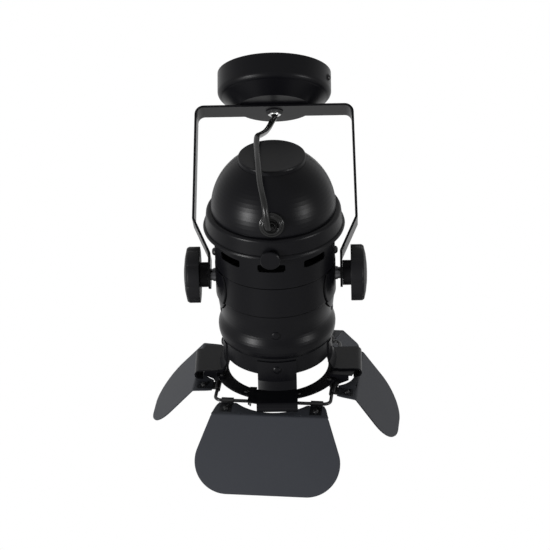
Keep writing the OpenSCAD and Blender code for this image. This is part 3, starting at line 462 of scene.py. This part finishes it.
# the route's points are those of the part's source
FLEX_ROUTE = (
    (0, 0, -16.3), (0, 0, -21), (0, 0, -27), (0, 0, -33), (0, 0, -40.1),
    (-2.3, -8, -48.5), (-4.6, -20, -58), (-7.2, -38, -68.5), (-10, -58, -78), (-12.6, -74, -86),
    (-12.6, -86, -99.5), (-11.2, -101, -117.5), (-8.9, -114.8, -141), (-5.2, -120.4, -162),
    (-3.3, -110.1, -177.3),
)
FLEX_IN_GROMMET = (9, 4, 0, -6)  # heights over the dome's face at the lead's end
FLEX_SPAN, FLEX_SIDES = 8, 24  # rings in each span and points round each ring


def grommet_frame():
    """The frame on the dome's face at the grommet, Z outward."""
    out = IN_CAN @ move(z=DOME_Z) @ turn("Z", GROMMET_TURN)
    return out @ turn("X", 90 - GROMMET_LEAN) @ move(z=DOME_R)


class SPOTLIGHT_OT_flex(Operator):
    """Make the supply flex from the terminal block to the grommet"""

    bl_idname = "spotlight.flex"
    bl_label = "Supply flex"

    def execute(self, context):
        radius = context.scene.spotlight_sizes.flex_radius
        g = grommet_frame()
        ends = [(g @ np.array([0, 0, d, 1.0]))[:3] for d in FLEX_IN_GROMMET]
        path = catmull(list(FLEX_ROUTE) + ends, FLEX_SPAN) * MM
        rings = tube_points(path, radius, FLEX_SIDES)
        flex = grid_object("flex_sheath", rings, wrap_columns=True, caps=True)
        outward(flex)
        dress(flex, "flex_sheath")
        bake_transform(flex)
        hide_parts("supply_flex")
        return {"FINISHED"}


# the boot's outline: flange, bead, tapered sleeve round the lead, bore and foot
GROMMET_OUTLINE = (
    (10.6, -1.0), (10.6, 0.8), (9.9, 1.4), (8.7, 1.5), (8.5, 2.6), (7.6, 3.7), (6.2, 3.7),
    (5.3, 2.7), (4.5, 2.3), (3.5, 6.0), (2.9, 6.0), (2.9, -3.0), (5.7, -3.0), (5.9, -0.6),
)
GROMMET_ROUND = 0.6


class SPOTLIGHT_OT_grommet(Operator):
    """Make the rubber grommet where the flex enters the dome"""

    bl_idname = "spotlight.grommet"
    bl_label = "Grommet"

    def execute(self, context):
        profile = rounded(GROMMET_OUTLINE, GROMMET_ROUND)
        grommet = revolved("grommet_boot", profile, grommet_frame())
        dress(grommet, "rubber")
        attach(grommet, "can")
        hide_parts("cable_grommet")
        return {"FINISHED"}


KNOB_R = 24.2
# half outline: collar over the stud's sleeve, back, rim, crowned front and bore
KNOB_OUTLINE = (
    (5.2, -7.04), (10.75, -7.04), (10.75, 0), (KNOB_R, 0), (KNOB_R, 9.4), (23.0, 11.2),
    (16.0, 12.8), (8.0, 13.7), (0.01, 13.95), (0.01, 2.0), (5.2, 2.0),
)
KNOB_ROUND, KNOB_SIDES = 0.5, 288
KNOBS = (("right", 0, 31.8), ("left", 180, 4.7))  # side, turn to that side, turn of the lobes


class SPOTLIGHT_OT_knobs(Operator):
    """Make the two moulded clamp knobs"""

    bl_idname = "spotlight.knobs"
    bl_label = "Clamp knobs"

    def execute(self, context):
        groove = context.scene.spotlight_sizes.groove / MM
        profile = rounded(KNOB_OUTLINE, KNOB_ROUND)
        for side, yaw, phase in KNOBS:

            def lobes(r, z, a, phase=np.radians(phase)):
                """Eight convex lobes: the radius falls by the groove's depth where the sine of
                four times the angle is 0, and less so towards the middle."""
                bay = np.abs(np.sin(4 * (a - phase))) ** 0.35
                return r - groove * (1 - bay) * (r / KNOB_R) ** 6

            place = IN_CAN @ turn("Z", yaw) @ move(x=GRIP_X) @ turn("Y", 90)
            knob = revolved(f"knob_{side}", profile, place, KNOB_SIDES, lobes)
            dress(knob, "knob_plastic")
            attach(knob, f"knob_{side}")
            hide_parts(f"knob_{side}_grip")
        return {"FINISHED"}


# u runs from the hinge wire to the tip: root_u is the root edge, arc_u the top of its arc and
# fold_u the bend, whose angle is fold; inset_u and inset_share shape the root strip's sides
LEAF = {"fold": 48.0, "fold_u": 21.0, "root_u": 4.5, "arc_u": 17.0, "thick": 1.0,
        "edge": 0.25, "clip_half": 5.25, "clip_gap": 3, "inset_u": 5, "inset_share": 0.55}
# half widths at the fold and at the widest, corner radius, clip's place, inset at the root
LONG = {"length": 68.0, "fold_w": 50.5, "max_w": 62.6, "corner": 28.6, "clip": 38.8, "inset": 5.0}
SHORT = {"length": 61.0, "fold_w": 38.0, "max_w": 38.6, "corner": 31.0, "clip": 29.0, "inset": 2.0}
BEND_ROWS, ROOT_ROWS = 9, 16


def leaf_flat(size, rows=72, columns=97):
    """The flat cut of a door on a grid. Across, y = v times the half width at u. Along,
    the root edge is an arc between the clips, the sides run straight to the corners, and
    the half width then follows a circle down to the straight tip."""
    fold, root = LEAF["fold_u"], LEAF["root_u"]
    r = size["corner"]
    d = np.array([size["length"] - r, size["max_w"] - r - size["fold_w"]])
    touch = np.arctan2(d[1], d[0]) + np.arcsin(r / np.hypot(*d)) + np.pi / 2
    a = touch * (1 - np.linspace(0, 1, rows // 2))
    arc = np.stack([fold + size["length"] - r + r * np.cos(a),
                    size["max_w"] - r + r * np.sin(a)], -1)
    strip = np.linspace(0, 1, rows // 3)[:, None]
    lead = np.array([[fold, size["fold_w"]]]) * (1 - strip) + arc[:1] * strip
    panel = np.concatenate([lead[:-1], arc])
    v = np.linspace(-1, 1, columns)
    k = np.linspace(0, 1, ROOT_ROWS)
    edge = size["fold_w"] - size["inset"] * np.interp(
        k, [0, LEAF["inset_u"] / (fold - root), 1], [1, LEAF["inset_share"], 0])
    y_root = v[None] * edge[:, None]
    half = size["clip"] - LEAF["clip_half"] - LEAF["clip_gap"]
    rise = LEAF["arc_u"] - root
    circle = (half**2 + rise**2) / (2 * rise)
    inner = LEAF["arc_u"] - circle + np.sqrt(np.maximum(circle**2 - y_root**2, 0))
    start = np.maximum(root, np.where(np.abs(y_root) < half, inner, root))
    u_root = start + (fold - start) * k[:, None]
    u = np.concatenate([u_root, np.repeat(panel[1:, :1], columns, 1)])
    y = np.concatenate([y_root, panel[1:, 1:] * v[None]])
    return u, y


def leaf_bent(u, y, bend):
    """The cut wrapped over its bend: flat, then an arc of radius bend, then flat again."""
    angle = np.radians(LEAF["fold"])
    reach = bend * np.tan(angle / 2)
    s = u - LEAF["fold_u"]
    phi = np.clip((s + reach) / (2 * reach), 0, 1) * angle
    x = np.where(s < -reach, u, np.where(s > reach, LEAF["fold_u"] + s * np.cos(angle),
                 LEAF["fold_u"] - reach + bend * np.sin(phi)))
    z = np.where(s < -reach, 0, np.where(s > reach, -s * np.sin(angle), bend * (np.cos(phi) - 1)))
    return np.stack([x, y, z], -1)


class SPOTLIGHT_OT_doors(Operator):
    """Make the four folded barn doors"""

    bl_idname = "spotlight.doors"
    bl_label = "Barn doors"

    def execute(self, context):
        bend = context.scene.spotlight_sizes.bend_radius / MM
        for i, side in enumerate(SIDES):
            u, y = leaf_flat(LONG if i % 2 == 0 else SHORT)
            # rows across the bend, so that the sheet stays flat up to it
            reach = bend * np.tan(np.radians(LEAF["fold"] / 2))
            extra = LEAF["fold_u"] + reach * np.linspace(-1, 1, BEND_ROWS)
            row = int(np.argmin(np.abs(u[:, 0] - LEAF["fold_u"])))
            u = np.concatenate([u[:row], np.repeat(extra[:, None], u.shape[1], 1), u[row + 1 :]])
            y = np.concatenate([y[:row], np.repeat(y[row : row + 1], BEND_ROWS, 0), y[row + 1 :]])
            leaf = grid_object(f"door_leaf_{side}", placed(leaf_bent(u, y, bend), in_leaf(i)))
            solid = leaf.modifiers.new("sheet", "SOLIDIFY")
            solid.thickness, solid.offset = LEAF["thick"] * MM, -1.0
            edge = leaf.modifiers.new("edge", "BEVEL")
            edge.width, edge.segments, edge.limit_method = LEAF["edge"] * MM, 2, "ANGLE"
            dress(leaf, "door_coat")
            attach(leaf, f"door_{side}")
            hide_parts(f"leaf_{side}")
        return {"FINISHED"}


THREAD = {"foot": 2.5, "pitch": 3.6, "depth": 0.3, "fade": 1.5, "gap": 0.5, "wall": 0.18}


def thread_rows(turns):
    """A round thread in thin sheet: the radius swings with the cosine of the height in
    pitches less the angle, and the swing fades out over a short way at both ends."""
    low = LAMP_MOUTH_Z + THREAD["foot"]
    high = low + THREAD["pitch"] * turns
    z = np.linspace(low, high, 24 * turns)[:, None]
    a = np.linspace(0, 2 * np.pi, 96, endpoint=False)[None]
    fade = np.clip((z - low) / THREAD["fade"], 0, 1) * np.clip((high - z) / THREAD["fade"], 0, 1)
    swing = THREAD["depth"] * fade * np.cos(2 * np.pi * z / THREAD["pitch"] - a)
    inner = LAMP_BORE_R - THREAD["gap"] + swing
    rows = [np.stack([r * np.cos(a), r * np.sin(a), z + 0 * a], -1)
            for r in (inner, inner + THREAD["wall"])]
    return np.concatenate([rows[0], rows[1][::-1]])


class SPOTLIGHT_OT_lamp_thread(Operator):
    """Make the screw shell inside the lampholder"""

    bl_idname = "spotlight.lamp_thread"
    bl_label = "Lamp thread"

    def execute(self, context):
        points = placed(thread_rows(context.scene.spotlight_sizes.thread_turns), IN_CAN)
        shell = outward(grid_object("lamp_screw_shell", points, wrap_rows=True, wrap_columns=True))
        dress(shell, "screw_shell")
        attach(shell, "can")
        return {"FINISHED"}


# thin black beads that paint the shade in the joints: name, radius about the can's axis and place
# along it
SEAM_RADIUS, SEAM_SIDES = 0.42, 12
SEAMS = (("seam_shade_upper", 50.5, 14.75), ("seam_shade_lower", 49.35, -14.05))
PLATE_SEAMS = (("seam_shade_plate_left", -1), ("seam_shade_plate_right", 1))
PLATE_EDGE_R, PLATE_EDGE_TOP = 29.0, 13.2


def plate_edge(side):
    """The side plate's round edge laid on the can: y and z run round a circle, and x is
    where the can's own radius meets them; below the sleeve that radius eases by a cosine
    from the shell's top to its waist."""
    low = np.arcsin(PLATE_EDGE_TOP / PLATE_EDGE_R)
    t = np.linspace(np.pi - low, 2 * np.pi + low, 121)
    y, z = PLATE_EDGE_R * np.cos(t), PLATE_EDGE_R * np.sin(t)
    along = np.clip((SHELL_TOP - z) / (SHELL_TOP - WAIST_Z), 0, 1)
    shell = SHELL_TOP_R + (WAIST_R - SHELL_TOP_R) * (1 - np.cos(np.pi * along)) / 2
    radius = np.where(z > SLEEVE_FRONT, SLEEVE_R, shell)
    return np.stack([side * np.sqrt(radius**2 - y**2), y, z], -1)


class SPOTLIGHT_OT_seams(Operator):
    """Make thin black beads as painted shade in the joints below the barrel's two edges and round
    the side plates
    """

    bl_idname = "spotlight.seams"
    bl_label = "Barrel seams"

    def execute(self, context):
        a = np.linspace(0, 2 * np.pi, SEAM_SIDES, endpoint=False)
        for name, radius, height in SEAMS:
            ring = np.stack([radius + SEAM_RADIUS * np.cos(a),
                             height + SEAM_RADIUS * np.sin(a)], -1)
            self.finish(revolved(name, ring, IN_CAN, 192))
        for name, side in PLATE_SEAMS:
            tube = tube_points(plate_edge(side), SEAM_RADIUS, SEAM_SIDES)
            seam = grid_object(name, placed(tube, IN_CAN), wrap_columns=True, caps=True)
            self.finish(outward(seam))
        return {"FINISHED"}

    def finish(self, seam):
        """Dresses a bead, which rides on the can."""
        dress(seam, "seam_shadow")
        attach(seam, "can")


class SPOTLIGHT_OT_stage(Operator):
    """Make the camera, the soft lights, the pale floor and the white surroundings"""

    bl_idname = "spotlight.stage"
    bl_label = "Stage"

    def execute(self, context):
        scene = context.scene
        scene.view_settings.view_transform = "Standard"
        aim_camera(scene)
        world = scene.world or bpy.data.worlds.new("surroundings")
        scene.world = world
        world.use_nodes = True
        lit_surroundings(world.node_tree, WORLD_LEVEL)
        floor = grid_object("floor", floor_points())
        floor.data.materials.append(floor_material())
        for name, place, size, watts in LIGHTS:
            softbox(name, place, size, watts)
        return {"FINISHED"}


IMAGE, FOCAL, PIVOT_AT = 550, 2500, (275.6, 273.5)  # pixels
CAMERA = {"yaw": 1.7, "pitch": 16.8, "roll": 0.4, "distance": 2.150, "sensor": 36.0,
          "clip": 60.0}
WORLD_LEVEL = 0.10
FLOOR_GLOW = 0.55
FLOOR_HALF, FLOOR_Z = 4.0, -1.6
WHITE = (1.0, 1.0, 1.0, 1.0)
# name, place, size and power of each soft light, aimed at the tilt axis
LIGHTS = (
    ("softbox_left", (-1.27, -0.96, -0.92), (0.42, 0.42), 46.0),
    ("softbox_right", (1.49, -0.79, -0.67), (0.42, 0.42), 18.0),
    ("softbox_top", (0.0, -0.8, 1.6), (1.6, 1.0), 4.0),
)


def aim_camera(scene):
    """Looks at the tilt axis from below, the canopy's ceiling face at the top."""
    yaw, pitch, roll = (np.radians(CAMERA[k]) for k in ("yaw", "pitch", "roll"))
    ahead = np.array([-np.sin(yaw) * np.cos(pitch), np.cos(yaw) * np.cos(pitch), np.sin(pitch)])
    right = np.array([np.cos(yaw), np.sin(yaw), 0.0])
    up = np.cross(right, ahead)
    right, up = (right * np.cos(roll) - up * np.sin(roll), up * np.cos(roll) + right * np.sin(roll))
    sx, sy = ((at - IMAGE / 2) / FOCAL * CAMERA["distance"] for at in PIVOT_AT)
    centre = TILT_CENTRE - CAMERA["distance"] * ahead - sx * right + sy * up
    data = bpy.data.cameras.new("camera")
    data.lens, data.sensor_width = FOCAL / IMAGE * CAMERA["sensor"], CAMERA["sensor"]
    data.clip_end = CAMERA["clip"]
    camera = bpy.data.objects.new("camera", data)
    scene.collection.objects.link(camera)
    m = Matrix.Identity(4)
    for row in range(3):
        m[row][0], m[row][1], m[row][2], m[row][3] = right[row], up[row], -ahead[row], centre[row]
    camera.matrix_world = m
    scene.camera = camera


def looked_at(t):
    """1 where the camera looks, also through glass or by way of shiny metal, 0 elsewhere."""
    seen = 0.0
    for ray in ("Is Camera Ray", "Is Glossy Ray", "Is Transmission Ray"):
        seen = t.node("ShaderNodeLightPath", {}, {}, ray) + seen
    return t.node("ShaderNodeMath", {"operation": "MINIMUM"}, (seen, 1.0))


def lit_surroundings(world, level):
    """A dim even light on the object, and white where the camera, metal or glass looks."""
    t = Tree(world)
    dim, white = (t.node("ShaderNodeBackground", {}, {"Color": WHITE, "Strength": strength})
                  for strength in (level, 1.0))
    mix = t.node("ShaderNodeMixShader", {}, {0: looked_at(t), 1: dim, 2: white})
    t.node("ShaderNodeOutputWorld", {}, {"Surface": mix})


def floor_points():
    """A level square well below the light, since it hangs from a ceiling."""
    x = np.linspace(-FLOOR_HALF, FLOOR_HALF, 5)
    gx, gy = np.meshgrid(x, x, indexing="ij")
    return np.stack([gx, gy, np.full_like(gx, FLOOR_Z)], -1)


def floor_material():
    """A matt pale floor that takes the light's shadow, and looks near white when looked at
    without throwing more light on the object."""
    s = Surface("floor_white")
    base = s.blend(s.noise(1.5, 2.0), (0.84, 0.84, 0.84), (0.88, 0.88, 0.88))
    plain, pale = (s.node("ShaderNodeBsdfPrincipled", {}, {
        "Base Color": base, "Roughness": 0.8, "Emission Strength": strength,
        "Emission Color": WHITE}) for strength in (0.0, FLOOR_GLOW))
    mix = s.node("ShaderNodeMixShader", {}, {0: looked_at(s), 1: plain, 2: pale})
    s.node("ShaderNodeOutputMaterial", {}, {"Surface": mix})
    return s.material


def softbox(name, place, size, watts):
    """A square light that faces the tilt axis."""
    data = bpy.data.lights.new(name, "AREA")
    data.shape, (data.size, data.size_y), data.energy = "RECTANGLE", size, watts
    lamp = bpy.data.objects.new(name, data)
    bpy.context.scene.collection.objects.link(lamp)
    lamp.location = place
    lamp.rotation_mode = "QUATERNION"
    lamp.rotation_quaternion = Vector(TILT_CENTRE - np.array(place)).to_track_quat("-Z", "Y")


class SPOTLIGHT_PT_panel(Panel):
    """Shows the settings and a button for each operator"""

    bl_label = "Spotlight"
    bl_idname = "SPOTLIGHT_PT_panel"
    bl_space_type = "VIEW_3D"
    bl_region_type = "UI"
    bl_category = "Spotlight"

    def draw(self, context):
        for group in (context.scene.spotlight_sizes, context.scene.spotlight_colours):
            for name in group.__annotations__:
                self.layout.prop(group, name)
        for operator in OPERATORS:
            self.layout.operator(operator.bl_idname)


OPERATORS = (SPOTLIGHT_OT_stage, SPOTLIGHT_OT_finishes, SPOTLIGHT_OT_flex, SPOTLIGHT_OT_grommet,
             SPOTLIGHT_OT_knobs, SPOTLIGHT_OT_doors, SPOTLIGHT_OT_lamp_thread,
             SPOTLIGHT_OT_seams)
CLASSES = (SpotlightColours, SpotlightSizes, *OPERATORS, SPOTLIGHT_PT_panel)


def register():
    for cls in CLASSES:
        bpy.utils.register_class(cls)
    bpy.types.Scene.spotlight_colours = PointerProperty(type=SpotlightColours)
    bpy.types.Scene.spotlight_sizes = PointerProperty(type=SpotlightSizes)


def unregister():
    del bpy.types.Scene.spotlight_sizes
    del bpy.types.Scene.spotlight_colours
    for cls in reversed(CLASSES):
        bpy.utils.unregister_class(cls)


def main():
    register()
    for operator in OPERATORS:
        area, verb = operator.bl_idname.split(".")
        getattr(getattr(bpy.ops, area), verb)()


if __name__ == "__main__":
    main()
